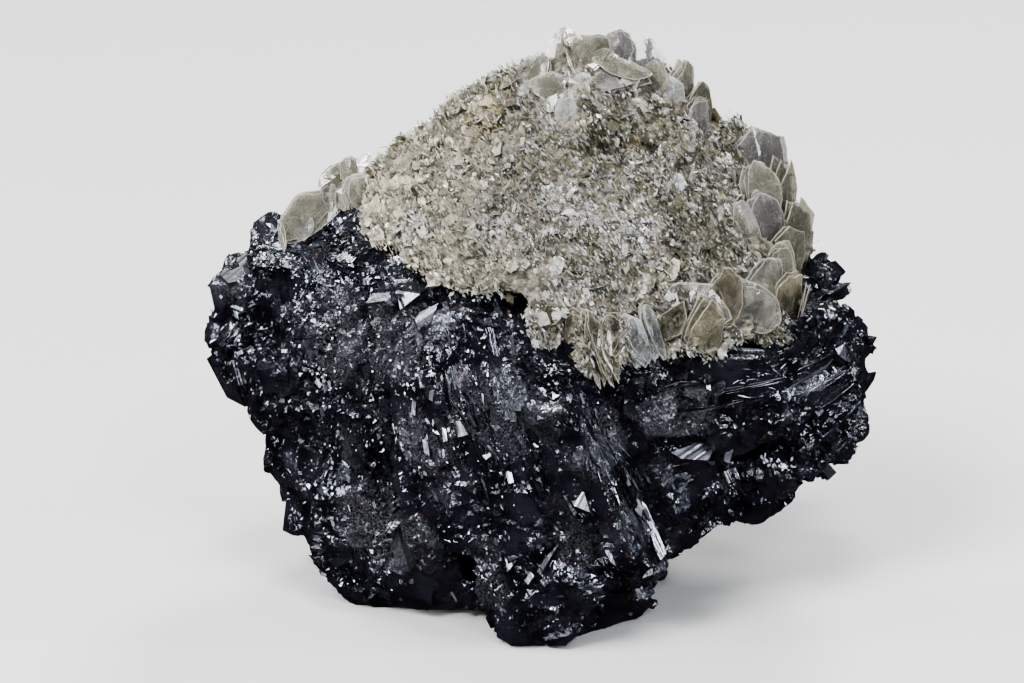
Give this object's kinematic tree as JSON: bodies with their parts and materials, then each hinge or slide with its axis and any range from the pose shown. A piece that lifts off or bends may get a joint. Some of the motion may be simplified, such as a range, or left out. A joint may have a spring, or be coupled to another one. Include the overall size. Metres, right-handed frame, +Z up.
{
  "type": "cassiterite specimen",
  "caption": "Mineral specimen: a block of intergrown black cassiterite crystals under a crust of pale muscovite mica plates, resting on its own flat feet.",
  "frame": {"origin": "on the surface that the specimen stands on, under the middle of its bounding box", "axes": "+Z up; +X to the right along the specimen's long side, seen from its face, which looks along -Y"},
  "size_m": [0.0544, 0.0358, 0.0455],
  "materials": {
    "cassiterite": "adamantine black, glossy crystal faces with rust-brown specks",
    "mica": "pearly, pale straw to greenish grey, partly translucent flakes",
    "mica_books": "pearly greenish grey books, translucent at the edges"
  },
  "bodies": {
    "root": {"cassiterite_mass": "cassiterite", "mica_crust": "mica", "mica_books_left": "mica_books"}
  },
  "joints": []
}
